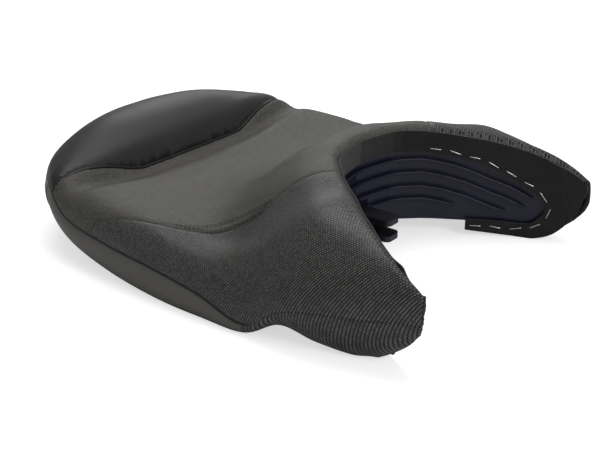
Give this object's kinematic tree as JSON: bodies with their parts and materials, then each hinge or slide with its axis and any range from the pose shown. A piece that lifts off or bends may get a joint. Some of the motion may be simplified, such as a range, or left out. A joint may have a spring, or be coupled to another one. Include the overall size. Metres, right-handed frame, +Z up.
{
  "type": "motorcycle seat",
  "caption": "Low solo motorcycle seat with a rear bolster and two horns around a tank notch, on a moulded pan with a hook claw and a latch striker.",
  "frame": {"origin": "centre of the bounding box, on the surface the seat stands on", "axes": "+X forward to the tips of the horns, +Y to the rider's left, +Z up"},
  "size_m": [0.5291, 0.4078, 0.1266],
  "materials": {
    "smooth_vinyl": "fine grain, satin",
    "woven_vinyl": "fine woven grain, satin",
    "carbon_vinyl": "coarse carbon-look weave, semi-gloss",
    "side_vinyl": "smooth, satin",
    "piping_vinyl": "smooth cord cover",
    "felt": "fleece",
    "foam": "open cell foam",
    "pan_plastic": "moulded, fine texture",
    "steel": "zinc plated",
    "black_steel": "black coated",
    "rubber": "matt",
    "tape": "woven tape"
  },
  "bodies": {
    "root": {"centre_panel": "woven_vinyl", "claw_screws": "steel", "foam_core": "foam", "front_claw": "black_steel", "front_left_buffer": "rubber", "front_lining": "felt", "front_right_buffer": "rubber", "latch_striker": "steel", "left_front_panel": "carbon_vinyl", "left_side_panel": "side_vinyl", "left_side_piping": "piping_vinyl", "rear_left_buffer": "rubber", "rear_panel": "smooth_vinyl", "rear_piping": "piping_vinyl", "rear_right_buffer": "rubber", "right_front_panel": "carbon_vinyl", "right_side_panel": "side_vinyl", "right_side_piping": "piping_vinyl", "seat_pan": "pan_plastic", "side_tag": "tape", "staples": "steel", "striker_plate": "steel", "striker_screws": "steel"}
  },
  "joints": []
}
